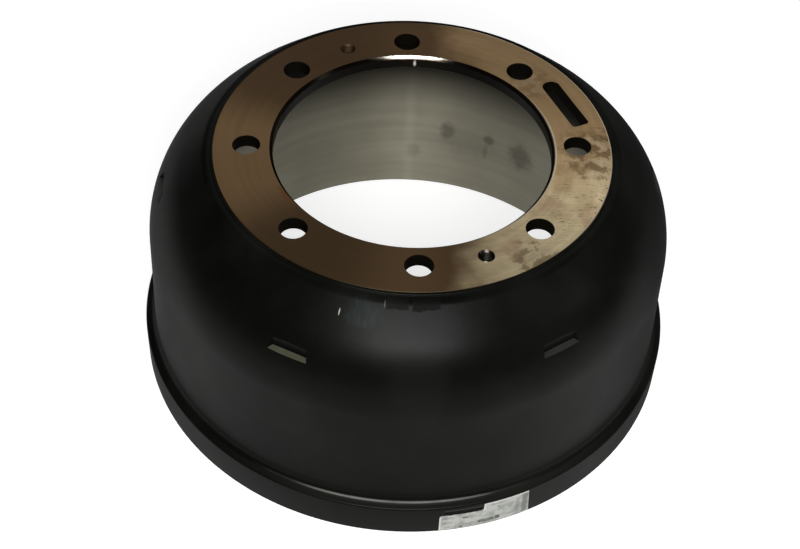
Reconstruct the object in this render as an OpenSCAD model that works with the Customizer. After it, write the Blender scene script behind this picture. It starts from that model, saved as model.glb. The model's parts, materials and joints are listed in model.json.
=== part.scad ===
// Cast iron brake drum for a heavy vehicle, standing on its open end.
// Millimetres. Z runs up the axis from the open edge to the hub face, X goes through the inspection slot.

/* [Braking surface] */
// Diameter of the turned surface that the shoes press on
bore_d = 381; // [340:1:420]
// Width of the turned surface, from the open edge
brake_w = 178; // [150:1:200]
// Height of the cast ring between the turned surface and the shoulder
cast_ring = 2.7; // [1:0.1:12]
// How far the cast ring lies outside the turned surface
cast_relief = 1.5; // [1:0.5:3]
// Chamfer of the open edge
bore_chamfer = 1.5; // [0.5:0.5:3]

/* [Hub end] */
// Diameter of the pilot bore that centres the drum on its hub
pilot_d = 232; // [200:1:250]
// Chamfer of the pilot bore's upper edge
pilot_chamfer = 2.5; // [1:0.5:4]
// Thickness of the flange under the hub face
flange_t = 12; // [10:0.5:16]
// Fillet between the underside of the flange and the shoulder
flange_fillet = 9; // [4:0.5:12]
// How far the turned hub face reaches beyond the bolt holes
face_margin = 17; // [10:0.5:20]
// How far the hub face stands above the cast rim round it
face_step = 1.1; // [0.5:0.1:3]
// Width of the rim
rim_w = 1.8; // [1:0.1:4]
// How far the rim stands above the start of the shoulder
rim_step = 1.7; // [0.8:0.1:3]
// Round of the rim's edge
rim_round = 1.1; // [0.2:0.1:2]

/* [Wheel bolts] */
// Number of bolt holes
bolt_count = 8; // [6:1:10]
// Diameter of a bolt hole
bolt_hole_d = 22; // [16:0.5:26]
// Width of metal between the pilot bore and a bolt hole
bolt_margin = 10.5; // [6:0.5:16]
// Chamfer of a bolt hole's edges
bolt_chamfer = 0.6; // [0.2:0.2:1]

/* [Tapped holes] */
// Nominal thread of the two holes for jacking screws
tap_d = 12; // [8:1:14]
// Pitch of their thread
tap_pitch = 1.75; // [1:0.25:2]
// Width of the countersink round the thread
tap_sink = 0.75; // [0.25:0.25:1]

/* [Inspection slot] */
// Width of the slot
slot_w = 15.6; // [8:0.2:20]
// Round of the corners at the slot's rounder end
slot_round = 7; // [2:0.5:7]
// Round of the corners at its other end
slot_corner = 3; // [1:0.5:7]
// How far the slot's ends stay clear of the bolt holes
slot_margin = 11.1; // [4:0.1:20]
// How far the slot's middle lies outside the bolt circle
slot_shift = 5.5; // [0:0.5:6]

/* [Shoulder] */
// How far outside the rim the shoulder would start, at the hub face's level
shoulder_margin = 1.7; // [1:0.1:6]
// Round where the shoulder starts
shoulder_round = 10; // [2:0.5:15]
// Slant of the cast shoulder, in degrees from the axis
shoulder_slant = 48.4; // [45:0.1:52]
// Thickness of the wall under the shoulder
shoulder_wall = 13; // [10:0.5:16]
// Radius of the bend between the shoulder and the barrel
shoulder_bend = 88.8; // [50:0.2:95]

/* [Barrel and rim band] */
// Thickness of the barrel's wall where it meets the band
barrel_wall = 35.3; // [20:0.1:40]
// Draft of the barrel, in degrees from the axis
barrel_draft = 1.55; // [0.5:0.05:3]
// How far the band stands out from the barrel
band_step = 8.7; // [7:0.1:14]
// Height of the band
band_h = 32; // [24:1:45]
// Slope of the band's top, in degrees
band_slope = 15; // [0:1:25]
// Round along the band's upper edge
band_round = 2; // [1:0.5:3]
// Fillet where the barrel meets the band
band_fillet = 8; // [1:0.5:8]
// Break of the band's lower edge
band_edge = 1; // [0.5:0.5:2]

/* [Shoulder lands] */
// Number of level lands cut into the shoulder
land_count = 6; // [3:1:8]
// Level of a land below the hub face
land_depth = 48; // [36:1:60]
// Width of a land from its wall to the shoulder's outside
land_w = 5.7; // [2:0.1:9]
// Length of a land along its wall
land_l = 30; // [10:1:50]
// Splay of a land's ends, in degrees
land_splay = 22; // [0:1:40]
// Turn of the cast lands from the drilled holes, in degrees
land_turn = 1.5; // [-5:0.5:5]

/* [Label] */
// Length of the label round the band
label_l = 79; // [50:1:120]
// Length of its torn part, which lacks the upper strip
label_torn_l = 37.5; // [10:0.5:45]
// Height of the upper strip that the torn part lacks
label_torn_h = 8; // [2:0.5:16]
// Thickness of the label
label_t = 0.2; // [0.15:0.05:0.5]
// Where the label's long side starts, in degrees from the slot
label_from = -107.2; // [-120:0.1:-90]

/* [Hidden] */
$fn = 96;

paint = [0.06, 0.06, 0.055];
paper = [0.78, 0.78, 0.76];

// Steps along one round corner of the section
round_steps = 20;
// How far a cutter runs past the surface that it cuts
past = 1;
// The bolt hole that the lands are counted from, in pitches from the slot
land_hole = -2.5;
// How far the label stays off the breaks of the band's edges
label_gap = 0.2;

// Small edge breaks where a turned surface ends
face_break = 0.4;
pilot_break = 0.8;
face_fillet = 0.5;
// The least straight line left between two rounds
least = 0.1;

// Radii, from the pilot bore out to the shoulder, and from the braking surface out to the band
pilot_r = pilot_d / 2;
bolt_hole_r = bolt_hole_d / 2;
bolt_circle_r = pilot_r + bolt_margin + bolt_hole_r;
face_r = bolt_circle_r + bolt_hole_r + face_margin;
rim_r = face_r + rim_w;
shoulder_start_r = rim_r + shoulder_margin;
bore_r = bore_d / 2;
cast_r = bore_r + cast_relief;
barrel_r = bore_r + barrel_wall;
band_r = barrel_r + band_step;
bolt_pitch = 360 / bolt_count;

// Levels: the inside of the shoulder climbs from the cast ring until its outside meets the hub face
shoulder_run = shoulder_wall / cos(shoulder_slant);
cast_z = brake_w + cast_ring;
height = cast_z + (cast_r + shoulder_run - shoulder_start_r) / tan(shoulder_slant);
flange_z = height - flange_t;
land_z = height - land_depth;
rim_z = height - face_step;
shoulder_z = rim_z - rim_step;

// The two cones of the outside, at any level, and the level where they would cross
function shoulder_r(z) = shoulder_start_r + (height - z) * tan(shoulder_slant);
function barrel_line_r(z) = barrel_r - (z - band_h) * tan(barrel_draft);
slope_gap = tan(shoulder_slant) - tan(barrel_draft);
bend_z = height - (barrel_line_r(height) - shoulder_start_r) / slope_gap;

// The round where the shoulder starts, no larger than the ledge round the rim
ledge_w = shoulder_r(shoulder_z) - rim_r;
start_half = (90 - shoulder_slant) / 2;
start_r = min(shoulder_round, (ledge_w - face_fillet - least) / tan(start_half));
cone_top_z = shoulder_z - start_r * tan(start_half) * cos(shoulder_slant);

// The bend between the cones, no larger than what ends below that round
bend_half = (shoulder_slant - barrel_draft) / 2;
bend_r = min(shoulder_bend, (cone_top_z - least - bend_z) / cos(shoulder_slant) / tan(bend_half));
bend_reach = bend_r * tan(bend_half);
bend_top_z = bend_z + bend_reach * cos(shoulder_slant);
bend_low_z = bend_z - bend_reach * cos(barrel_draft);
bend_centre_z = bend_low_z - bend_r * sin(barrel_draft);
bend_centre_r = barrel_line_r(bend_low_z) - bend_r * cos(barrel_draft);

// Radius of the finished outside at any level above the band
function outside_r(z) =
    z > bend_top_z ? shoulder_r(z)
    : z < bend_low_z ? barrel_line_r(z)
    : bend_centre_r + sqrt(pow(bend_r, 2) - pow(z - bend_centre_z, 2));

// Rounds of the rim and the band, no larger than the edges between them
edge_r = min(rim_round, rim_w - least, rim_step - face_fillet - least);
band_top_z = band_h + band_step * tan(band_slope);
band_reach = band_round / tan(45 + band_slope / 2);
fillet_half = 45 + (band_slope + barrel_draft) / 2;
fillet_r = min(band_fillet, (band_step / cos(band_slope) - band_reach - least) * tan(fillet_half));

// An outline given as [r, z, corner radius], with each corner rounded by an arc
function unit(v) = v / norm(v);
function corner(before, at, after, radius) =
    let (
        a = unit(before - at),
        b = unit(after - at),
        half = acos(a * b) / 2,
        middle = at + unit(a + b) * radius / sin(half),
        start = at + a * radius / tan(half) - middle,
        stop = at + b * radius / tan(half) - middle,
        turn = atan2(start.x * stop.y - start.y * stop.x, start * stop)
    )
    [for (k = [0:round_steps])
        let (t = turn * k / round_steps)
        middle + [start.x * cos(t) - start.y * sin(t), start.x * sin(t) + start.y * cos(t)]];
function rounded(outline) =
    let (n = len(outline))
    [for (i = [0:n - 1])
        let (
            p = outline[i],
            before = outline[(i + n - 1) % n],
            after = outline[(i + 1) % n]
        )
        each p.z == 0
            ? [[p.x, p.y]]
            : corner([before.x, before.y], [p.x, p.y], [after.x, after.y], p.z)];

module drum_section() {
    polygon(rounded([
        [bore_r + bore_chamfer, 0, 0],
        [band_r - band_edge, 0, 0],
        [band_r, band_edge, 0],
        [band_r, band_h, band_round],
        [barrel_line_r(band_top_z), band_top_z, fillet_r],
        [barrel_line_r(bend_z), bend_z, bend_r],
        [shoulder_r(shoulder_z), shoulder_z, start_r],
        [rim_r, shoulder_z, face_fillet],
        [rim_r, rim_z, edge_r],
        [face_r, rim_z, 0],
        [face_r, height - face_break, 0],
        [face_r - face_break, height, 0],
        [pilot_r + pilot_chamfer, height, 0],
        [pilot_r, height - pilot_chamfer, 0],
        [pilot_r, flange_z + pilot_break, 0],
        [pilot_r + pilot_break, flange_z, 0],
        [shoulder_r(flange_z) - shoulder_run, flange_z, flange_fillet],
        [cast_r, cast_z, 0],
        [cast_r, brake_w, 0],
        [bore_r, brake_w, 0],
        [bore_r, bore_chamfer, 0]
    ]));
}

// A hole down through the flange, with its upper and lower edges broken by these depths
module flange_hole(d, upper, lower) {
    translate([0, 0, flange_z - past]) cylinder(h = flange_t + 2 * past, d = d);
    translate([0, 0, height - upper]) cylinder(h = upper + past, d1 = d, d2 = d + 2 * (upper + past));
    translate([0, 0, flange_z - past]) cylinder(h = lower + past, d1 = d + 2 * (lower + past), d2 = d);
}

// The bolt holes lie half a pitch to each side of the slot
module bolt_holes() {
    for (k = [0:bolt_count - 1])
        rotate(bolt_pitch * (k + 0.5)) translate([bolt_circle_r, 0, 0])
            flange_hole(bolt_hole_d, bolt_chamfer, bolt_chamfer);
}

// Two tapped holes opposite each other, midway between bolt holes, drilled at the thread's root
module tapped_holes() {
    quarter = round(bolt_count / 4);
    for (k = [quarter, quarter + round(bolt_count / 2)])
        rotate(bolt_pitch * k) translate([bolt_circle_r, 0, 0])
            flange_hole(tap_d - tap_pitch, tap_sink + tap_pitch / 2, face_break);
}

// Half of the slot, from its middle to one end, with two round corners
module slot_half(length, radius) {
    r = min(radius, slot_w / 2 - least);
    translate([-slot_w / 2, -past]) square([slot_w, length - r + past]);
    translate([r - slot_w / 2, 0]) square([slot_w - 2 * r, length]);
    for (x = [-1, 1]) translate([x * (slot_w / 2 - r), length - r]) circle(r);
}

// The slot lies between two bolt holes, clear of both, and is rounder at one end
module inspection_slot() {
    half = bolt_circle_r * sin(bolt_pitch / 2) - bolt_hole_r - slot_margin;
    translate([bolt_circle_r + slot_shift, 0, flange_z - past]) linear_extrude(flange_t + 2 * past) {
        slot_half(half, slot_round);
        rotate(180) slot_half(half, slot_corner);
    }
}

// One land: a level floor with a straight wall behind it and splayed ends
module land_cut() {
    reach = land_w + 2 * past;
    flare = reach * tan(land_splay);
    half = land_l / 2;
    translate([outside_r(land_z) - land_w, 0, land_z]) linear_extrude(land_depth + past)
        polygon([[0, -half], [reach, -half - flare], [reach, half + flare], [0, half]]);
}

// The lands are spaced evenly from a bolt hole, turned a little as the casting was
module land_cuts() {
    pitch = 360 / land_count;
    for (k = [0:land_count - 1])
        rotate(pitch * (k + 0.5) + bolt_pitch * land_hole + land_turn) land_cut();
}

module drum() {
    color(paint) difference() {
        rotate_extrude() drum_section();
        bolt_holes();
        tapped_holes();
        inspection_slot();
        land_cuts();
    }
}

// The label's height is what lies flat on the band between its two edges
label_z = band_edge + label_gap;
label_h = band_h - band_round - label_gap - label_z;

// A block wrapped round the band: where it starts along the label, its length, depth, level and height
module wrapped(start, length, inner, depth, z, h) {
    degrees = 180 / (PI * band_r);
    rotate(label_from + start * degrees) rotate_extrude(angle = length * degrees)
        translate([band_r + inner, z]) square([depth, h]);
}

module paper_label() {
    color(paper) difference() {
        wrapped(0, label_l, 0, label_t, label_z, label_h);
        wrapped(-past, label_torn_l + past, -past, label_t + 2 * past,
            label_z + label_h - label_torn_h, label_torn_h + past);
    }
}

drum();
paper_label();
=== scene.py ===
# Looks of a cast iron brake drum: black satin paint outside, bare turned metal on the hub face and
# inside, and a torn paper label on the rim band. Metres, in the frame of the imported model.
import json
import math
import random

import bmesh
import bpy
from mathutils import Matrix, Quaternion, Vector


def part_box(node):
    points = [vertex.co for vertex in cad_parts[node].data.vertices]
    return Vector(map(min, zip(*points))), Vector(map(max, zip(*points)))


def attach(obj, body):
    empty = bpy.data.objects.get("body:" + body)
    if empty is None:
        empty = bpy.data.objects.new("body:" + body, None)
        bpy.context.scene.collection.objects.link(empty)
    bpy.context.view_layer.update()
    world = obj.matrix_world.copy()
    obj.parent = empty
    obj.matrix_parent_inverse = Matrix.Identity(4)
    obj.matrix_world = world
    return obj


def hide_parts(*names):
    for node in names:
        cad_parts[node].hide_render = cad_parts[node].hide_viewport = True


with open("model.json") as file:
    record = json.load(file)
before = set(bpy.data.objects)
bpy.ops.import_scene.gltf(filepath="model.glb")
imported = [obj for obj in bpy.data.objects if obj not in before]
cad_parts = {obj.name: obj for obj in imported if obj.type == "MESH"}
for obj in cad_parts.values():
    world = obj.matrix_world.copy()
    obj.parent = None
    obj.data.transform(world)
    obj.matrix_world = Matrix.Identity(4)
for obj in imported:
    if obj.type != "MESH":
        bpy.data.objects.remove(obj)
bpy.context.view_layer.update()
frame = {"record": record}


# The casting
# The drum is poured in one piece of grey iron: a hub flange on top, a domed shoulder, a thick barrel
# and a rim band round the open end. Its half section is drawn once and swept round the axis.
mm = 0.001
mounts = {mount["name"]: mount for mount in frame["record"]["mounts"]}
top_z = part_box("drum")[1].z
flange_z = mounts["hub_seat"]["pos_m"][2]
pilot_r = mounts["pilot_bore"]["dims"]["r_mm"] * mm
brake_r = mounts["brake_bore"]["dims"]["r_mm"] * mm
face_r = 165.5 * mm
face_break = 0.4 * mm
rim_r = 167.3 * mm
rim_z = top_z - 1.1 * mm
rim_round = 1.1 * mm
rim_fillet = 0.5 * mm
shoulder_z = rim_z - 1.7 * mm
shoulder_round = 10 * mm
pilot_chamfer = 2.5 * mm
pilot_break = 0.8 * mm
brake_w = 178 * mm
brake_chamfer = 1.5 * mm
cast_relief = 1.5 * mm
cast_ring = 2.7 * mm
shoulder_start_r = 169 * mm
shoulder_slant = math.radians(48.4)
shoulder_wall = 13 * mm
inner_round = 9 * mm
shoulder_bend = 88.8 * mm
barrel_r = 225.8 * mm
barrel_draft = math.radians(1.55)
band_r = 234.5 * mm
band_z = 32 * mm
band_slope = math.radians(15)
band_top_z = band_z + (band_r - barrel_r) * math.tan(band_slope)
band_round = 2 * mm
band_fillet = 8 * mm
band_break = 1 * mm


def shoulder_r(z):
    """Radius of the cast shoulder's cone at a level."""
    return shoulder_start_r + (top_z - z) * math.tan(shoulder_slant)


def barrel_line_r(z):
    """Radius of the barrel's slightly drafted wall at a level."""
    return barrel_r - (z - band_z) * math.tan(barrel_draft)


def round_start(radius, turn):
    """How far before a corner its round begins."""
    return radius * math.tan(turn / 2)


# The bend between barrel and shoulder starts and ends on their two lines
bend_turn = shoulder_slant - barrel_draft
slope_gap = math.tan(shoulder_slant) - math.tan(barrel_draft)
bend_z = top_z - (barrel_line_r(top_z) - shoulder_start_r) / slope_gap
bend_low_z = bend_z - round_start(shoulder_bend, bend_turn) * math.cos(barrel_draft)
bend_top_z = bend_z + round_start(shoulder_bend, bend_turn) * math.cos(shoulder_slant)
bend_centre_z = bend_low_z - shoulder_bend * math.sin(barrel_draft)
bend_centre_r = barrel_line_r(bend_low_z) - shoulder_bend * math.cos(barrel_draft)

# Corners of the half section as (radius, height, round), up the outside and down the inside
outline = [
    (brake_r + brake_chamfer, 0, 0),
    (band_r - band_break, 0, 0),
    (band_r, band_break, 0),
    (band_r, band_z, band_round),
    (barrel_line_r(band_top_z), band_top_z, band_fillet),
    (barrel_line_r(bend_low_z), bend_low_z, 0),
    (shoulder_r(bend_top_z), bend_top_z, 0),
    (shoulder_r(shoulder_z), shoulder_z, shoulder_round),
    (rim_r, shoulder_z, rim_fillet),
    (rim_r, rim_z, rim_round),
    (face_r, rim_z, 0),
    (face_r, top_z - face_break, 0),
    (face_r - face_break, top_z, 0),
    (pilot_r + pilot_chamfer, top_z, 0),
    (pilot_r, top_z - pilot_chamfer, 0),
    (pilot_r, flange_z + pilot_break, 0),
    (pilot_r + pilot_break, flange_z, 0),
    (shoulder_r(flange_z) - shoulder_wall / math.cos(shoulder_slant), flange_z, inner_round),
    (brake_r + cast_relief, brake_w + cast_ring, 0),
    (brake_r + cast_relief, brake_w, 0),
    (brake_r, brake_w, 0),
    (brake_r, brake_chamfer, 0),
]
# The bend is swept from this corner to the next
bend_start = 5
bend_steps = 24
round_steps = 5
drum_steps = 288
weld = 0.001 * mm

casting = bmesh.new()
corners = [casting.verts.new((r, 0, z)) for r, z, _ in outline]
for i, corner in enumerate(corners):
    if i != bend_start:
        casting.edges.new((corner, corners[(i + 1) % len(corners)]))
bmesh.ops.spin(
    casting, geom=[corners[bend_start]], cent=(bend_centre_r, 0, bend_centre_z), axis=(0, -1, 0),
    angle=bend_turn, steps=bend_steps, use_merge=False, use_duplicate=False)
for corner, (_, _, radius) in zip(corners, outline):
    if radius:
        back, on = (edge.other_vert(corner).co - corner.co for edge in corner.link_edges)
        bmesh.ops.bevel(
            casting, geom=[corner], offset=round_start(radius, math.pi - back.angle(on)),
            offset_type="OFFSET", segments=round_steps, profile=0.5, affect="VERTICES", material=-1)
bmesh.ops.remove_doubles(casting, verts=casting.verts, dist=weld)
bmesh.ops.spin(
    casting, geom=casting.verts[:] + casting.edges[:], cent=(0, 0, 0), axis=(0, 0, 1),
    angle=math.tau, steps=drum_steps, use_merge=True, use_duplicate=False)
bmesh.ops.recalc_face_normals(casting, faces=casting.faces)


def finished(name, shape):
    """Turns a finished bmesh into an object at the origin."""
    mesh = bpy.data.meshes.new(name)
    shape.to_mesh(mesh)
    shape.free()
    made = bpy.data.objects.new(name, mesh)
    bpy.context.scene.collection.objects.link(made)
    return made


brake_drum = finished("brake_drum", casting)
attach(brake_drum, "root")
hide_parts("drum")


def put(tree, kind, inputs, **settings):
    """Adds a shader node with these inputs, each a value or another node's output."""
    made = tree.nodes.new("ShaderNode" + kind)
    for name, value in settings.items():
        setattr(made, name, value)
    for socket, value in inputs.items():
        if isinstance(value, bpy.types.NodeSocket):
            tree.links.new(value, made.inputs[socket])
        else:
            made.inputs[socket].default_value = value
    return made


def calc(tree, operation, *values):
    """A Math node's output."""
    return put(tree, "Math", dict(enumerate(values)), operation=operation).outputs[0]


def times(tree, first, *others):
    """The product of several masks or numbers."""
    for other in others:
        first = calc(tree, "MULTIPLY", first, other)
    return first


def raised(tree, value, mask, amount):
    """A value, raised by an amount where the mask is 1."""
    return calc(tree, "MULTIPLY_ADD", mask, amount, value)


def fade(tree, value, low, high, start=0.0, end=1.0):
    """Goes smoothly from start to end as the value goes from low to high."""
    limits = {0: value, 1: low, 2: high, 3: start, 4: end}
    return put(tree, "MapRange", limits, interpolation_type="SMOOTHSTEP").outputs[0]


def mix(tree, share, first, second):
    """A colour between two others."""
    return put(tree, "Mix", {0: share, 6: first, 7: second}, data_type="RGBA").outputs[2]


def noise(tree, vector, scale, detail=2.0):
    """Soft noise about 0.5: scale is how many of its features go into one unit of the vector."""
    return put(tree, "TexNoise", {"Vector": vector, "Scale": scale, "Detail": detail}).outputs[0]


def effect(name, inputs, outputs):
    """Starts a node group that several finishes share: its tree, its inputs and its outputs."""
    tree = bpy.data.node_groups.new(name, "ShaderNodeTree")
    for socket in inputs:
        kind = "NodeSocketVector" if socket == "Vector" else "NodeSocketFloat"
        tree.interface.new_socket(socket, in_out="INPUT", socket_type=kind)
    for socket in outputs:
        tree.interface.new_socket(socket, in_out="OUTPUT", socket_type="NodeSocketFloat")
    return tree, tree.nodes.new("NodeGroupInput").outputs, tree.nodes.new("NodeGroupOutput").inputs


def place(tree, name, inputs):
    """Places a shared effect in a finish and gives its outputs."""
    return put(tree, "Group", inputs, node_tree=bpy.data.node_groups[name]).outputs


# Radius and height in millimetres and angle in degrees, about the drum's axis
tree, given, wanted = effect("about_the_axis", ["Vector"], ["Radius", "Angle", "Height"])
x, y, z = put(tree, "SeparateXYZ", {0: given["Vector"]}).outputs
flat = put(tree, "CombineXYZ", {0: x, 1: y}).outputs[0]
length = put(tree, "VectorMath", {0: flat}, operation="LENGTH").outputs["Value"]
tree.links.new(calc(tree, "DIVIDE", length, mm), wanted["Radius"])
tree.links.new(calc(tree, "DEGREES", calc(tree, "ARCTAN2", y, x)), wanted["Angle"])
tree.links.new(calc(tree, "DIVIDE", z, mm), wanted["Height"])

# One mark with a soft or ragged edge: 1 inside, 0 outside, placed by two coordinates
tree, given, wanted = effect(
    "mark",
    ["Vector", "Across", "Along", "Mid Across", "Mid Along", "Half Across", "Half Along", "Soft", "Ragged"],
    ["Mask"])
sides = []
for way in ("Across", "Along"):
    off = calc(tree, "SUBTRACT", given[way], given["Mid " + way])
    sides.append(calc(tree, "POWER", calc(tree, "DIVIDE", off, given["Half " + way]), 2.0))
off = calc(tree, "SQRT", calc(tree, "ADD", *sides))
wobble = calc(tree, "SUBTRACT", noise(tree, given["Vector"], 140, 3), 0.5)
off = raised(tree, off, wobble, given["Ragged"])
inner = calc(tree, "SUBTRACT", 1.0, given["Soft"])
tree.links.new(fade(tree, off, inner, 1.0, 1.0, 0.0), wanted["Mask"])


def mark(tree, at, middle, half, soft=0.5, ragged=1.0):
    """The mask of one mark, at = (object coordinates, across, along)."""
    vector, across, along = at
    return place(tree, "mark", {
        "Vector": vector, "Across": across, "Along": along, "Mid Across": middle[0], "Mid Along": middle[1],
        "Half Across": half[0], "Half Along": half[1], "Soft": soft, "Ragged": ragged})["Mask"]


def either(tree, masks):
    """The strongest of several masks."""
    found = masks[0]
    for mask in masks[1:]:
        found = calc(tree, "MAXIMUM", found, mask)
    return found


def between(tree, value, low, high, soft):
    """1 where the value lies between low and high, fading over soft at both ends."""
    rising = fade(tree, value, low - soft, low + soft)
    falling = fade(tree, value, high - soft, high + soft, 1.0, 0.0)
    return times(tree, rising, falling)


# The skin that sand leaves on iron, under paint or bare: a fine grain on slow waves
tree, given, wanted = effect("cast_grain", ["Vector"], ["Height"])
fine = noise(tree, given["Vector"], 520, 3)
slow = noise(tree, given["Vector"], 70, 2)
tree.links.new(raised(tree, fine, slow, 1.2), wanted["Height"])


def finish(name, ior=1.5, anisotropy=0.0, piece=brake_drum):
    """Adds a finish to a piece: its tree, its shader, its object coordinates and its number."""
    material = bpy.data.materials.new(name)
    material.use_nodes = True
    tree = material.node_tree
    shader = tree.nodes["Principled BSDF"]
    shader.inputs["IOR"].default_value = ior
    # A turned surface is polished round the axis
    if anisotropy:
        shader.inputs["Anisotropic"].default_value = anisotropy
        shader.inputs["Anisotropic Rotation"].default_value = 0.25
        turned = put(tree, "Tangent", {}, direction_type="RADIAL", axis="Z")
        tree.links.new(turned.outputs[0], shader.inputs["Tangent"])
    piece.data.materials.append(material)
    vector = put(tree, "TexCoord", {}).outputs["Object"]
    return tree, shader, vector, len(piece.data.materials) - 1


def surface(tree, shader, colour, roughness, metallic=0.0, height=None, depth=0.0):
    """Connects a finish: height is its fine relief, and depth the relief's size."""
    for name, value in (("Base Color", colour), ("Roughness", roughness), ("Metallic", metallic)):
        if isinstance(value, bpy.types.NodeSocket):
            tree.links.new(value, shader.inputs[name])
        else:
            shader.inputs[name].default_value = value
    if height:
        relief = put(tree, "Bump", {"Strength": 1.0, "Distance": depth, "Height": height})
        tree.links.new(relief.outputs[0], shader.inputs["Normal"])


# Black paint over the cast skin: satin and a little dusty, with light and dark rubs below the hub face
# at the front, two chips, dust on the band's top that is lighter at the front as painted sheen, and a
# painted highlight line where the barrel meets the band. The marks' places are angles in degrees, and
# radii and heights in millimetres.
paint_black = (0.0022, 0.0024, 0.0019, 1)
paint_dusty = (0.0052, 0.0054, 0.0044, 1)
dust_and_sheen_grey = (0.018, 0.018, 0.016, 1)
rubbed_grey = (0.009, 0.013, 0.012, 1)
glue_black = (0.001, 0.001, 0.001, 1)
bare_grey_and_glint = (0.30, 0.30, 0.27, 1)
rub_at = (-126.2, 207)
rub_half = (5.2, 10)
smudge_heights = (213, 218.5)
smudge_angles = [(-121, -115.5), (-114.5, -107.6)]
dust_sheen_radii = (229.4, 233.5)
dust_sheen_heights = (31, 36)
dust_sheen_angles = (-150, -70)
glue_angles = (-106.3, -97.9)
glue_heights = (21, 27.5)
glue_edge_heights = (27, 27.8)
glint_line_radii = (227.9, 229.1)
glint_line_heights = (31, 38)
glint_line_angles = (-136, -98)
chips = [((-132, 205.4), (0.22, 2.3), 1.0), ((-121.4, 213.2), (0.2, 2.2), 0.2)]
dull_angles = (-50, 95)

tree, shader, vector, PAINT = finish("satin_black_paint", ior=1.14)
radius, angle, height = place(tree, "about_the_axis", {"Vector": vector})
around = (vector, angle, height)
dust = fade(tree, noise(tree, vector, 14, 4), 0.35, 0.7)
colour = mix(tree, dust, paint_black, paint_dusty)
# The light rub is broken into fine upright streaks, and the dark smudges have wavy edges
upright = put(tree, "CombineXYZ", {0: times(tree, angle, 1.4), 1: times(tree, height, 0.12)}).outputs[0]
broken = fade(tree, noise(tree, upright, 1, 2), 0.35, 0.65, 0.4)
rubbed = times(tree, mark(tree, around, rub_at, rub_half, soft=0.5, ragged=0.8), broken)
colour = mix(tree, rubbed, colour, rubbed_grey)
wavy = raised(tree, height, noise(tree, vector, 140, 3), 4)
smudges = either(tree, [between(tree, angle, *angles, 0.4) for angles in smudge_angles])
smudges = times(tree, smudges, between(tree, wavy, *smudge_heights, 0.5))
# Dust on the band's top, only at the front, where its lightness is partly painted sheen
ledge_dust_and_sheen = times(
    tree, between(tree, radius, *dust_sheen_radii, 0.6), between(tree, height, *dust_sheen_heights, 0.5),
    between(tree, angle, *dust_sheen_angles, 22), 0.35)
colour = mix(tree, ledge_dust_and_sheen, colour, dust_and_sheen_grey)
# The glue of the label's torn strip, and the light line of dirt along its upper edge
by_label = between(tree, angle, *glue_angles, 0.3)
glue = times(tree, by_label, between(tree, height, *glue_heights, 0.3))
glue_edge = times(tree, by_label, between(tree, height, *glue_edge_heights, 0.25))
colour = mix(tree, times(tree, glue, 0.7), colour, glue_black)
# Painted highlight: a broken bright line at the foot of the barrel on the front side, in the chips' bare
# grey
glint_line = times(
    tree, between(tree, radius, *glint_line_radii, 0.3), between(tree, height, *glint_line_heights, 0.5),
    between(tree, angle, *glint_line_angles, 14), fade(tree, noise(tree, vector, 25, 2), 0.35, 0.6, 0.12, 0.4))
chipped = [
    times(tree, mark(tree, around, middle, half, soft=0.5, ragged=0.2), strength)
    for middle, half, strength in chips]
colour = mix(tree, either(tree, [glint_line, times(tree, glue_edge, 0.15), *chipped]), colour, bare_grey_and_glint)
# The paint is duller on the side of the slot, in the smudges and on the glue
dull = raised(tree, 0.29, noise(tree, vector, 30, 3), 0.1)
dull = raised(tree, dull, between(tree, angle, *dull_angles, 22), 0.25)
dull = raised(tree, dull, either(tree, [smudges, glue]), 0.25)
facing = put(tree, "LayerWeight", {}).outputs["Facing"]
dull = calc(tree, "ADD", dull, fade(tree, facing, 0.35, 0.9, 0.0, 0.3))
grain = place(tree, "cast_grain", {"Vector": vector})["Height"]
surface(tree, shader, colour, dull, height=grain, depth=0.05 * mm)

# The same iron inside, where nothing was turned: dull, brown-black, with a rougher grain
cast_black = (0.005, 0.0045, 0.004, 1)
cast_brown = (0.02, 0.016, 0.012, 1)
tree, shader, vector, CAST = finish("cast_skin", ior=1.1)
colour = mix(tree, noise(tree, vector, 25, 4), cast_black, cast_brown)
grain = place(tree, "cast_grain", {"Vector": vector})["Height"]
surface(tree, shader, colour, roughness=0.75, height=grain, depth=0.12 * mm)


# The turned surfaces
# The hub face, the pilot bore and the braking surface are turned on a lathe, which leaves fine rings,
# and are left bare under a brown film of oil. The film is rubbed and stained on one side of the face.
# Noise wound round the axis: it changes slowly along a ring, and quickly from one ring to the next
tree, given, wanted = effect("turned_rings", ["Vector", "Across", "Pitch"], ["Ring"])
x, y, z = put(tree, "SeparateXYZ", {0: given["Vector"]}).outputs
flat = put(tree, "CombineXYZ", {0: x, 1: y}).outputs[0]
round_it = put(tree, "VectorMath", {0: flat}, operation="NORMALIZE").outputs[0]
x, y, z = put(tree, "SeparateXYZ", {0: round_it}).outputs
step = calc(tree, "DIVIDE", given["Across"], given["Pitch"])
wound = put(tree, "CombineXYZ", {0: x, 1: y, 2: step}).outputs[0]
tree.links.new(noise(tree, wound, 1, 3), wanted["Ring"])

film_brown = (0.105, 0.062, 0.03, 1)
film_painted_sheen = (0.235, 0.145, 0.07, 1)
film_tan = (0.45, 0.3, 0.15, 1)
film_pale_and_sheen = (0.84, 0.69, 0.42, 1)
film_pink = (0.5, 0.3, 0.18, 1)
stain_brown = (0.15, 0.092, 0.04, 1)
stain_dark = (0.06, 0.045, 0.025, 1)
rust = (0.19, 0.08, 0.03, 1)
edge_cream = (0.62, 0.51, 0.36, 1)
edge_pale_and_glint = (0.82, 0.68, 0.49, 1)
highlight_grey = (0.6, 0.56, 0.48, 1)
chamfer_shade = (0.05, 0.036, 0.024, 1)
# The stains round the right-hand bolt hole, by the slot and near the tapped hole, each as its middle
# (x, y) and half width in millimetres, and its strength
stains = [((137, -65), 36, 0.85), ((128, 34), 26, 0.35), ((34, -156), 24, 0.7)]
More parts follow.
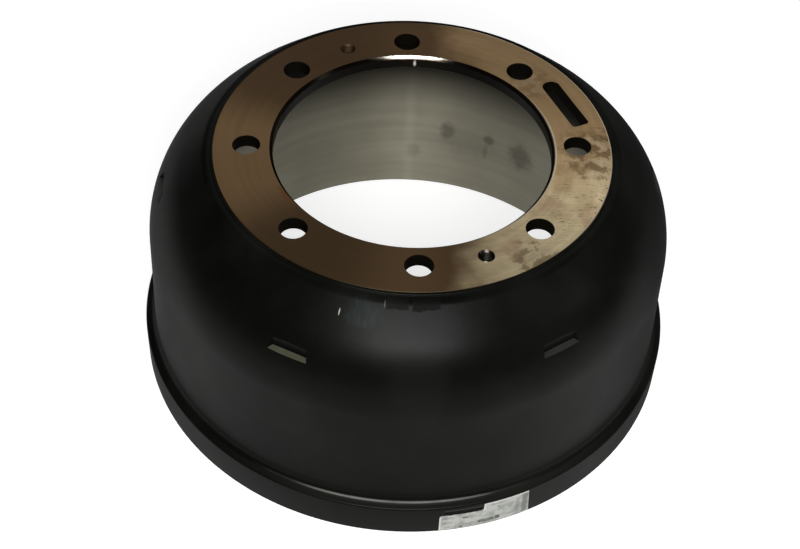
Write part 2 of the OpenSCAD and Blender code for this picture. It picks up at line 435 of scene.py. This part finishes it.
# The face's other marks, by angle in degrees and radius in millimetres
sheen_angles = (140, 188)
shade_angles = (-162, -128)
scratches_at = (-52, 145)
scratches_half = (30, 24)
pit_radii = (158, 166)
pit_angles = (-55, -15)
rust_at = (-172, 120)
rust_half = (9, 4)
highlight_arc_at = (66, 118.7)
highlight_arc_half = (21, 2.7)
cream_angles = (-75, 2)
chamfer_r = (pilot_r + pilot_chamfer) / mm
outer_r = face_r / mm

tree, shader, vector, FACE = finish("turned_face", anisotropy=0.8)
radius, angle, height = place(tree, "about_the_axis", {"Vector": vector})
around = (vector, angle, radius)
flat_mm = put(tree, "VectorMath", {0: vector, 3: 1 / mm}, operation="SCALE").outputs[0]
x, y, _ = put(tree, "SeparateXYZ", {0: flat_mm}).outputs
ring = place(tree, "turned_rings", {"Vector": vector, "Across": radius, "Pitch": 1.6})["Ring"]
broad_ring = place(tree, "turned_rings", {"Vector": vector, "Across": radius, "Pitch": 7})["Ring"]
# Along and across the direction in which the face was rubbed and scratched
scratch_turn = math.radians(-22.3)
turned = put(
    tree, "VectorRotate", {"Vector": flat_mm, "Angle": -scratch_turn}, rotation_type="Z_AXIS").outputs[0]
along, across, _ = put(tree, "SeparateXYZ", {0: turned}).outputs


def drawn_out(tree, long, wide):
    """Coordinates in which noise is drawn out along the scratches."""
    shares = {0: calc(tree, "DIVIDE", along, long), 1: calc(tree, "DIVIDE", across, wide)}
    return put(tree, "CombineXYZ", shares).outputs[0]


# The film where it was rubbed: tan, paler towards the front, partly wear and partly painted sheen, with
# pinkish and brown patches
paler_and_sheen = raised(tree, calc(tree, "SUBTRACT", 55, y), noise(tree, vector, 45, 4), -110)
tan = mix(tree, fade(tree, paler_and_sheen, 50, 130), film_tan, film_pale_and_sheen)
tan = mix(tree, fade(tree, noise(tree, vector, 30, 3), 0.52, 0.68, 0.0, 0.6), tan, film_pink)
streaks = noise(tree, drawn_out(tree, 30, 2), 1, 2)
tan = mix(tree, fade(tree, streaks, 0.35, 0.6, 0.1, 0.0), tan, stain_brown)
# A cloudy stain: brown in its hollows, pale where it dried, with a ragged line between
stained = either(tree, [
    times(tree, mark(tree, (vector, x, y), middle, (half, half), soft=0.5, ragged=1.2), strength)
    for middle, half, strength in stains])
cloud = noise(tree, vector, 95, 3)
tan = mix(tree, times(tree, stained, fade(tree, cloud, 0.48, 0.56, 1.0, 0.0), 0.8), tan, stain_brown)
tan = mix(tree, times(tree, stained, fade(tree, cloud, 0.56, 0.62), 0.6), tan, edge_cream)
# The film elsewhere: brown, with a painted sheen on the far side from the slot and painted shade next to
# that
whole_turn = calc(tree, "FLOORED_MODULO", angle, 360)
brown = mix(tree, between(tree, whole_turn, *sheen_angles, 12), film_brown, film_painted_sheen)
brown = mix(tree, times(tree, between(tree, angle, *shade_angles, 10), 0.2), brown, stain_dark)
wear = raised(tree, along, noise(tree, vector, 22, 3), 60)
colour = mix(tree, fade(tree, wear, 52, 105), brown, tan)
# Short scratches, pitting near the outer edge, a little rust and broad rings
scratched = times(
    tree, fade(tree, noise(tree, drawn_out(tree, 7, 1.1), 1, 1), 0.66, 0.71),
    mark(tree, around, scratches_at, scratches_half, soft=0.6, ragged=0.6))
pitted = times(
    tree, fade(tree, noise(tree, vector, 420, 1), 0.62, 0.72),
    between(tree, radius, *pit_radii, 2), between(tree, angle, *pit_angles, 8))
colour = mix(tree, times(tree, either(tree, [scratched, pitted]), 0.85), colour, stain_dark)
colour = mix(tree, mark(tree, around, rust_at, rust_half, soft=0.8, ragged=0.6), colour, rust)
colour = mix(tree, fade(tree, broad_ring, 0.3, 0.7, 0.2, 0.0), colour, stain_dark)
# The chamfer of the pilot bore has a painted highlight at the back and painted shade elsewhere. Its upper
# edge and the face's outer edge are pale on the side of the slot, partly worn and partly painted glint.
on_chamfer = fade(tree, radius, chamfer_r - 0.1, chamfer_r + 0.1, 1.0, 0.0)
painted_highlight_arc = mark(tree, around, highlight_arc_at, highlight_arc_half, soft=0.4, ragged=0.3)
colour = mix(tree, on_chamfer, colour, mix(tree, painted_highlight_arc, chamfer_shade, highlight_grey))
on_outer_edge = fade(tree, radius, outer_r - 0.6, outer_r - 0.4)
colour = mix(tree, on_outer_edge, colour, stain_dark)
inner_cream = times(
    tree, between(tree, radius, chamfer_r - 0.6, chamfer_r + 1.3, 0.4),
    between(tree, angle, *cream_angles, 15))
off_slot = calc(tree, "ABSOLUTE", calc(tree, "ADD", angle, 5))
outer_cream = times(
    tree, fade(tree, radius, outer_r - 1.1, outer_r - 0.8), fade(tree, off_slot, 45, 65, 1.0, 0.0))
pale_edge_and_glint = either(tree, [inner_cream, outer_cream])
colour = mix(tree, pale_edge_and_glint, colour, edge_pale_and_glint)
dull = raised(tree, 0.36, on_chamfer, -0.15)
dull = raised(tree, dull, on_outer_edge, 0.3)
dull = raised(tree, dull, pale_edge_and_glint, 0.15)
dull = raised(tree, dull, stained, 0.06)
surface(tree, shader, colour, dull, metallic=1.0, height=ring, depth=0.01 * mm)

# The braking surface: greyer, with stains, a painted highlight streak, painted shade towards its top,
# where it also stops being metal, and dark at its lower edge
bore_grey = (0.155, 0.147, 0.11, 1)
bore_light = (0.235, 0.222, 0.17, 1)
bore_painted_highlight = (0.27, 0.26, 0.20, 1)
bore_dark = (0.01, 0.009, 0.006, 1)
highlight_streak_angles = (63.2, 65.8)
shade_heights = (84, 155)
shade_dull_heights = (138, 156)
# Its stains, as (angle, height), their half sizes and their strength
spots = [
    ((53.1, 72), (3.4, 15), 0.45), ((40.8, 73), (2.4, 9), 0.45), ((41.4, 58), (1.4, 14), 0.3),
    ((30, 68), (5.5, 21), 0.45), ((63.2, 42), (3, 12), 0.2), ((77, 104), (9, 12), 0.12),
    ((47, 62), (13, 26), 0.15)]

tree, shader, vector, BORE = finish("turned_bore", ior=1.1, anisotropy=0.88)
radius, angle, height = place(tree, "about_the_axis", {"Vector": vector})
around = (vector, angle, height)
ring = place(tree, "turned_rings", {"Vector": vector, "Across": height, "Pitch": 1.6})["Ring"]
broad_ring = place(tree, "turned_rings", {"Vector": vector, "Across": height, "Pitch": 9})["Ring"]
lighter = calc(tree, "ADD", noise(tree, vector, 16, 3), fade(tree, angle, 15, 115, 0.3, -0.4))
colour = mix(tree, lighter, bore_grey, bore_light)
# Painted highlight: a narrow upright light streak at the back of the wall
colour = mix(tree, times(tree, between(tree, angle, *highlight_streak_angles, 1.2), 0.3), colour, bore_painted_highlight)
colour = mix(tree, fade(tree, broad_ring, 0.3, 0.7, 0.12, 0.0), colour, bore_dark)
stained = [
    times(tree, mark(tree, around, middle, half, soft=0.7, ragged=0.7), strength)
    for middle, half, strength in spots]
# Painted shade: the wall darkens towards its top
shade = fade(tree, height, *shade_heights)
low_edge = fade(tree, height, 1.5, 2.0, 0.9, 0.0)
colour = mix(tree, either(tree, [*stained, shade, low_edge]), colour, bore_dark)
unshaded_metal = fade(tree, height, *shade_dull_heights, 1.0, 0.0)
surface(tree, shader, colour, roughness=0.37, metallic=unshaded_metal, height=ring, depth=0.01 * mm)

# The pilot bore's wall, nearly black, with one painted glint at the back
pilot_black = (0.003, 0.0025, 0.002, 1)
pilot_brown = (0.01, 0.008, 0.006, 1)
pilot_glint_at = (64.4, 212)
pilot_glint_half = (0.9, 4.5)
tree, shader, vector, PILOT = finish("turned_pilot", anisotropy=0.8)
radius, angle, height = place(tree, "about_the_axis", {"Vector": vector})
colour = mix(tree, noise(tree, vector, 30, 3), pilot_black, pilot_brown)
pilot_glint = mark(tree, (vector, angle, height), pilot_glint_at, pilot_glint_half, soft=0.8, ragged=0.5)
colour = mix(tree, pilot_glint, colour, highlight_grey)
surface(tree, shader, colour, roughness=0.42, metallic=1.0)

# Each face takes the finish of the surface that it belongs to
for polygon in brake_drum.data.polygons:
    r, z, up = polygon.center.xy.length, polygon.center.z, polygon.normal.z
    if r < face_r and z > top_z - pilot_chamfer and up > 0.1:
        polygon.material_index = FACE
    elif r < pilot_r + pilot_break and z > flange_z:
        polygon.material_index = PILOT
    elif r < brake_r + brake_chamfer and z < brake_w:
        polygon.material_index = BORE
    elif z < brake_chamfer and up < -0.9:
        polygon.material_index = BORE
    elif r < shoulder_r(z) - shoulder_wall / 2 and z > brake_w - mm:
        polygon.material_index = CAST


# The shoulder lands
# Six level lands are cast into the shoulder, evenly round it. Each has a straight wall behind it and
# splayed ends, and the paint is thin on its floor.
land_count = 6
land_z = top_z - 48 * mm
land_w = 5.7 * mm
land_l = 30 * mm
land_splay = math.radians(22)
land_turn = math.radians(-141)
land_rise = 40 * mm
# How far each cutting shape reaches past the iron
past = 4 * mm


def cut(tool, number):
    """Cuts a tool's shape out of the drum; the new faces take the finish of that number."""
    bmesh.ops.recalc_face_normals(tool, faces=tool.faces)
    for side in tool.faces:
        side.material_index = number
    tool = finished("tool", tool)
    for material in brake_drum.data.materials:
        tool.data.materials.append(material)
    step = brake_drum.modifiers.new("cut", "BOOLEAN")
    step.operation = "DIFFERENCE"
    step.solver = "EXACT"
    step.material_mode = "INDEX"
    step.object = tool
    after = brake_drum.evaluated_get(bpy.context.evaluated_depsgraph_get())
    before = brake_drum.data
    brake_drum.data = bpy.data.meshes.new_from_object(after)
    brake_drum.modifiers.clear()
    bpy.data.meshes.remove(before)
    bpy.data.objects.remove(tool)


# The lands at the front are greener and lighter: partly thin paint and partly painted sheen
green_sheen_angles = (-165, -110)
front_pale = (0.075, 0.078, 0.05, 1)
front_dark = (0.045, 0.046, 0.03, 1)
side_pale = (0.03, 0.03, 0.026, 1)
side_dark = (0.012, 0.012, 0.01, 1)
tree, shader, vector, LAND = finish("thin_paint_on_land", ior=1.3)
angle = place(tree, "about_the_axis", {"Vector": vector})["Angle"]
green_and_sheen = between(tree, angle, *green_sheen_angles, 10)
land_pale = mix(tree, green_and_sheen, side_pale, front_pale)
land_dark = mix(tree, green_and_sheen, side_dark, front_dark)
colour = mix(tree, noise(tree, vector, 90, 3), land_dark, land_pale)
grain = place(tree, "cast_grain", {"Vector": vector})["Height"]
surface(tree, shader, colour, roughness=0.6, height=grain, depth=0.1 * mm)

land_r = bend_centre_r + math.sqrt(shoulder_bend ** 2 - (land_z - bend_centre_z) ** 2)
reach = land_w + past
lands = bmesh.new()
for k in range(land_count):
    block = bmesh.ops.create_cube(lands, size=1)["verts"]
    bmesh.ops.scale(lands, vec=(reach, land_l, land_rise), verts=block)
    outer = [v for v in block if v.co.x > 0]
    bmesh.ops.scale(lands, vec=(1, 1 + 2 * reach * math.tan(land_splay) / land_l, 1), verts=outer)
    middle = (land_r - land_w + reach / 2, 0, land_z + land_rise / 2)
    bmesh.ops.translate(lands, vec=middle, verts=block)
    turn = Matrix.Rotation(land_turn + math.tau * k / land_count, 3, "Z")
    bmesh.ops.rotate(lands, cent=(0, 0, 0), matrix=turn, verts=block)
cut(lands, LAND)
# Only the floors keep the thin paint
for polygon in brake_drum.data.polygons:
    if polygon.material_index == LAND and polygon.normal.z < 0.9:
        polygon.material_index = PAINT


# The bolt holes
# Eight holes for the wheel studs are drilled through the flange, with both edges lightly broken.
bolts = mounts["wheel_bolts"]["dims"]
bolt_r = bolts["hole_r_mm"] * mm
bolt_circle_r = bolts["pcd_mm"] / 2 * mm
bolt_break = 0.6 * mm
hole_steps = 64

# The walls of the holes and the slot are nearly black: painted shade inside them
hole_shade_black = (0.0005, 0.0005, 0.0005, 1)
hole_shade_brown = (0.005, 0.004, 0.002, 1)
tree, shader, vector, DRILLED = finish("drilled_iron", ior=1.08)
colour = mix(tree, noise(tree, vector, 60, 3), hole_shade_black, hole_shade_brown)
surface(tree, shader, colour, roughness=0.7)


def drill(tool, radius, upper, lower, x, y):
    """Adds the shape that a drill and countersinks of these depths leave."""
    below, above = flange_z - past, top_z + past
    levels = [
        (0, below), (radius + lower + past, below), (radius, flange_z + lower),
        (radius, top_z - upper), (radius + upper + past, above), (0, above)]
    placed = set(tool.verts)
    side = [tool.verts.new((r, 0, z)) for r, z in levels]
    lines = [tool.edges.new(pair) for pair in zip(side, side[1:])]
    bmesh.ops.spin(
        tool, geom=side + lines, cent=(0, 0, 0), axis=(0, 0, 1),
        angle=math.tau, steps=hole_steps, use_merge=True, use_duplicate=False)
    bmesh.ops.remove_doubles(tool, verts=[v for v in tool.verts if v not in placed], dist=weld)
    bmesh.ops.translate(tool, vec=(x, y, 0), verts=[v for v in tool.verts if v not in placed])


holes = bmesh.new()
for k in range(bolts["count"]):
    turn = math.tau * (k + 0.5) / bolts["count"]
    x, y = bolt_circle_r * math.cos(turn), bolt_circle_r * math.sin(turn)
    drill(holes, bolt_r, bolt_break, bolt_break, x, y)
cut(holes, DRILLED)


# The inspection slot
# A slot through the flange between two bolt holes, to see the linings through. One end is rounder
# than the other.
slot_w = 15.6 * mm
slot_l = 61 * mm
slot_r = bolt_circle_r + 5.5 * mm
slot_rounds = [(1, 7 * mm), (-1, 3 * mm)]
slot_steps = 10

slot = bmesh.new()
bmesh.ops.create_cube(slot, size=1)
bmesh.ops.scale(slot, vec=(slot_w, slot_l, top_z - flange_z + 2 * past), verts=slot.verts)
for end, radius in slot_rounds:
    upright = [
        e for e in slot.edges
        if (e.verts[0].co.xy - e.verts[1].co.xy).length < mm and e.verts[0].co.y * end > slot_l / 2 - mm]
    bmesh.ops.bevel(
        slot, geom=upright, offset=radius, offset_type="OFFSET", segments=slot_steps, profile=0.5,
        affect="EDGES", material=-1)
bmesh.ops.translate(slot, vec=(slot_r, 0, (top_z + flange_z) / 2), verts=slot.verts)
cut(slot, DRILLED)


# The tapped holes
# Two threaded holes opposite each other take the screws that push the drum off its hub. They are
# drilled at the thread's root, countersunk and tapped.
thread_pitch = 1.75 * mm
thread_sink = 0.75 * mm
thread_steps = 36
thread_end = 0.4 * mm
overlap = 0.05 * mm

# Cut threads glint where they are clean, and are dull under old oil. The clean threads' dark colour is
# painted shade inside the hole.
thread_shade_dark = (0.012, 0.01, 0.007, 1)
thread_bright = (0.06, 0.053, 0.044, 1)
oiled_dark = (0.03, 0.019, 0.01, 1)
oiled_brown = (0.10, 0.062, 0.032, 1)
tree, shader, vector, THREAD = finish("tapped_iron")
colour = mix(tree, noise(tree, vector, 200, 3), thread_shade_dark, thread_bright)
surface(tree, shader, colour, roughness=0.3, metallic=1.0)
tree, shader, vector, OILED = finish("oiled_thread")
colour = mix(tree, noise(tree, vector, 200, 3), oiled_dark, oiled_brown)
surface(tree, shader, colour, roughness=0.6, metallic=1.0)

for side in ("left", "right"):
    mount = mounts["jacking_thread_" + side]
    x, y, _ = mount["pos_m"]
    root_r = mount["dims"]["r_mm"] * mm
    crest_r = root_r + thread_pitch / 2
    hole = bmesh.new()
    drill(hole, root_r, crest_r - root_r + thread_sink, face_break, x, y)
    cut(hole, THREAD)
    # One pitch of the tap's profile climbs in a helix, whose ends are then trimmed flat
    low = flange_z - 2 * thread_pitch
    profile = [
        (root_r - overlap, 0), (root_r - overlap, 1 / 8), (crest_r, 1 / 2), (root_r - overlap, 7 / 8),
        (root_r - overlap, 1)]
    tap = bmesh.new()
    tooth = [tap.verts.new((r, 0, low + share * thread_pitch)) for r, share in profile]
    lines = [tap.edges.new(pair) for pair in zip(tooth, tooth[1:])]
    turns = math.ceil((top_z - low) / thread_pitch) + 2
    bmesh.ops.spin(
        tap, geom=tooth + lines, cent=(0, 0, 0), axis=(0, 0, 1), dvec=(0, 0, thread_pitch / thread_steps),
        angle=math.tau * turns, steps=thread_steps * turns, use_merge=False, use_duplicate=False)
    bmesh.ops.remove_doubles(tap, verts=tap.verts, dist=weld)
    for z, way in ((flange_z - thread_end, 1), (top_z + thread_end, -1)):
        bmesh.ops.bisect_plane(
            tap, geom=tap.verts[:] + tap.edges[:] + tap.faces[:], plane_co=(0, 0, z), plane_no=(0, 0, way),
            clear_inner=True)
    bmesh.ops.holes_fill(tap, edges=[e for e in tap.edges if e.is_boundary], sides=0)
    bmesh.ops.translate(tap, vec=(x, y, 0), verts=tap.verts)
    cut(tap, THREAD)

# Old oil fills the threads of the hole at the back
for polygon in brake_drum.data.polygons:
    if polygon.material_index == THREAD and polygon.center.y > 0:
        polygon.material_index = OILED

sharp_angle = math.radians(28)
brake_drum.data.shade_smooth()
brake_drum.data.set_sharp_from_angle(angle=sharp_angle)


# The label
# A printed paper sticker is glued round the rim band. It has one round corner, a ragged edge where
# its upper strip was torn off, and smudged print.
paper_from = math.radians(-107.2)
paper_l = 79 * mm
paper_low = 1.8 * mm
paper_top = 29.8 * mm
torn_l = 37.5 * mm
torn_top = 21.8 * mm
paper_corner = 3 * mm
paper_slant = 1.6 * mm
paper_t = 0.2 * mm
tear_start = (0.4 * mm, 0.6 * mm)
tear_depth = 0.7 * mm
tear_places = range(35, 4, -2)
corner_steps = 4
chance = random.Random(7)

# The outline, flat, as (along, up), before it is cut into narrow columns and wrapped round the band
edge = [(0, paper_low), (paper_l, paper_low), (paper_l - paper_slant, paper_top), (torn_l, paper_top)]
edge.append((torn_l - tear_start[0], torn_top + tear_start[1]))
for along in tear_places:
    edge.append((along * mm, torn_top - chance.uniform(0, tear_depth / mm) * mm))
for k in range(corner_steps + 1):
    turn = math.radians(90 + 90 * k / corner_steps)
    edge.append((paper_corner * (1 + math.cos(turn)), torn_top + paper_corner * (math.sin(turn) - 1)))
sheet = bmesh.new()
sheet.faces.new([sheet.verts.new((along, 0, up)) for along, up in edge])
for column in range(1, round(paper_l / mm)):
    bmesh.ops.bisect_plane(
        sheet, geom=sheet.verts[:] + sheet.edges[:] + sheet.faces[:], dist=weld,
        plane_co=(column * mm, 0, 0), plane_no=(1, 0, 0))
for v in sheet.verts:
    turn = paper_from + v.co.x / band_r
    v.co = (band_r * math.cos(turn), band_r * math.sin(turn), v.co.z)
outer = bmesh.ops.extrude_face_region(sheet, geom=sheet.faces[:])["geom"]
outer = [v for v in outer if isinstance(v, bmesh.types.BMVert)]
thicker = 1 + paper_t / band_r
bmesh.ops.scale(sheet, vec=(thicker, thicker, 1), verts=outer)
bmesh.ops.recalc_face_normals(sheet, faces=sheet.faces)
label = finished("label", sheet)
label.data.shade_smooth()
label.data.set_sharp_from_angle(angle=sharp_angle)
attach(label, "root")
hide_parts("paper_label")

# The print is only smudged rows, bars and fields, each (left, right, low, high) in millimetres along the
# label and up from the open edge. A mark's other numbers are how soft its edges are and its strength.
paper_white = (0.41, 0.415, 0.385, 1)
paper_soiled = (0.25, 0.26, 0.235, 1)
paper_edge = (0.6, 0.6, 0.56, 1)
ink = (0.015, 0.017, 0.015, 1)
ink_faint = (0.1, 0.105, 0.095, 1)
print_rows = [(3, 12, 16, 19), (2, 11, 9.5, 12.5), (4, 10, 4, 6), (20, 33, 3, 8)]
faint_marks = [
    ((72, 77, 3, 28), 0.7, 1.0), ((66, 69, 8, 26), 0.8, 0.5), ((43, 57, 25.5, 26.8), 0.4, 0.7),
    ((58, 71, 6, 8.5), 1.0, 0.6)]
bold_smear = (33, 47, 4.5, 8.5)
bold_marks = [
    ((48, 52, 5, 9.5), 0.7, 1.0), ((19.5, 24.5, 15, 16.5), 0.5, 1.0), ((17, 20, 2.8, 4.8), 0.7, 1.0),
    ((49, 51.5, 21.5, 22.5), 0.4, 1.0)]
bare_edges = [((37, 80, 28.6, 31), 0.5, 0.8), ((37, 39, 21, 31), 0.5, 0.8)]

tree, shader, vector, _ = finish("label_paper", piece=label)
radius, angle, height = place(tree, "about_the_axis", {"Vector": vector})
from_start = calc(tree, "SUBTRACT", angle, math.degrees(paper_from))
along = times(tree, from_start, math.radians(band_r / mm))
colour = mix(tree, fade(tree, noise(tree, vector, 110, 4), 0.4, 0.65), paper_white, paper_soiled)


def block(box, soft=0.4, strength=1.0):
    """The mask of a rectangle on the label."""
    left, right, low, high = box
    return times(
        tree, between(tree, along, left, right, soft), between(tree, height, low, high, soft), strength)


rows_at = put(tree, "CombineXYZ", {0: along, 1: times(tree, height, 1.6)}).outputs[0]
rows = fade(tree, noise(tree, rows_at, 0.9, 2), 0.42, 0.6)
rows = times(tree, rows, either(tree, [block(box) for box in print_rows]))
faint = either(tree, [rows] + [block(*stroke) for stroke in faint_marks])
colour = mix(tree, times(tree, faint, 0.75), colour, ink_faint)
smeared = fade(tree, noise(tree, rows_at, 0.6, 2), 0.36, 0.5)
smeared = times(tree, smeared, block(bold_smear, 0.6))
bold = either(tree, [smeared] + [block(*stroke) for stroke in bold_marks])
colour = mix(tree, times(tree, bold, 0.9), colour, ink)
# The paper's cut and torn edges show white
rim = either(tree, [fade(tree, along, 0.3, 1.8, 1.0, 0.0)] + [block(*strip) for strip in bare_edges])
colour = mix(tree, rim, colour, paper_edge)
surface(tree, shader, colour, roughness=0.6)


# The floor and the light
# A pale floor, a soft grey surround, a soft lamp in front above, a wide one behind, and two small ones
# at the right and at the right behind. The floor glows a little for the camera and for gloss, so that it
# shows white near the drum, and it is grey further away.
floor_half = 40
floor_sink = 0.2 * mm
floor_pale = (0.45, 0.45, 0.45, 1)
floor_grey = (0.15, 0.15, 0.15, 1)
floor_fade = (750, 1800)
glow_near = 0.75
glow_far = 0.15
floor_shape = bmesh.new()
bmesh.ops.create_grid(floor_shape, x_segments=1, y_segments=1, size=floor_half)
bmesh.ops.translate(floor_shape, vec=(0, 0, -floor_sink), verts=floor_shape.verts)
floor = finished("floor", floor_shape)
material = bpy.data.materials.new("pale_floor")
material.use_nodes = True
tree = material.node_tree
shader = tree.nodes["Principled BSDF"]
shader.inputs["Roughness"].default_value = 1
shader.inputs["Specular IOR Level"].default_value = 0
shader.inputs["Emission Color"].default_value = (1, 1, 1, 1)
vector = put(tree, "TexCoord", {}).outputs["Object"]
radius = place(tree, "about_the_axis", {"Vector": vector})["Radius"]
far = fade(tree, radius, *floor_fade)
tree.links.new(mix(tree, far, floor_pale, floor_grey), shader.inputs["Base Color"])
ray = put(tree, "LightPath", {}).outputs
seen = either(tree, [ray["Is Camera Ray"], ray["Is Glossy Ray"], ray["Is Transmission Ray"]])
glow = raised(tree, glow_near, far, glow_far - glow_near)
tree.links.new(times(tree, seen, glow), shader.inputs["Emission Strength"])
floor.data.materials.append(material)

surround = 0.045
world = bpy.data.worlds.new("studio")
world.use_nodes = True
background = world.node_tree.nodes["Background"]
background.inputs["Color"].default_value = (1, 1, 1, 1)
background.inputs["Strength"].default_value = surround
bpy.context.scene.world = world

camera_turn = math.radians(-116.64)
look_at = Vector((0, 0, 120 * mm))


def lamp(name, turn, rise, distance, wide, tall, power):
    """A soft lamp that faces the drum, at a turn from the camera's side and a rise, both in degrees."""
    light = bpy.data.lights.new(name, "AREA")
    light.shape = "RECTANGLE"
    light.size = wide
    light.size_y = tall
    light.energy = power
    made = bpy.data.objects.new(name, light)
    rise = math.radians(rise)
    way = camera_turn + math.radians(turn)
    level = distance * math.cos(rise)
    offset = Vector((level * math.cos(way), level * math.sin(way), distance * math.sin(rise)))
    made.location = look_at + offset
    made.rotation_euler = (look_at - made.location).to_track_quat("-Z", "Y").to_euler()
    made.visible_camera = False
    bpy.context.scene.collection.objects.link(made)


lamp("front_lamp", turn=2, rise=41, distance=1.9, wide=1.1, tall=0.7, power=47)
lamp("side_lamp", turn=78, rise=28, distance=1.9, wide=0.3, tall=0.3, power=1.4)
lamp("right_lamp", turn=142, rise=38, distance=1.8, wide=0.6, tall=0.6, power=1.2)
lamp("back_lamp", turn=180, rise=48, distance=2.2, wide=2.4, tall=1.6, power=6.3)


# The camera
# It looks down on the drum's front, with the inspection slot at the back on the right. Its place, aim
# and lens were solved from the drum's own circles.
camera_at = Vector((-428.1 * mm, -853.4 * mm, 1073.5 * mm))
camera_aim = Vector((-4.6 * mm, 2.3 * mm, 62.1 * mm))
camera_roll = Quaternion((0, 0, 1), math.radians(2.86))
camera = bpy.data.cameras.new("camera")
camera.sensor_width = 36
camera.lens = 69.34
camera.clip_end = 200
eye = bpy.data.objects.new("camera", camera)
eye.location = camera_at
eye.rotation_euler = ((camera_aim - camera_at).to_track_quat("-Z", "Y") @ camera_roll).to_euler()
bpy.context.scene.collection.objects.link(eye)
bpy.context.scene.camera = eye
bpy.context.scene.view_settings.view_transform = "Standard"
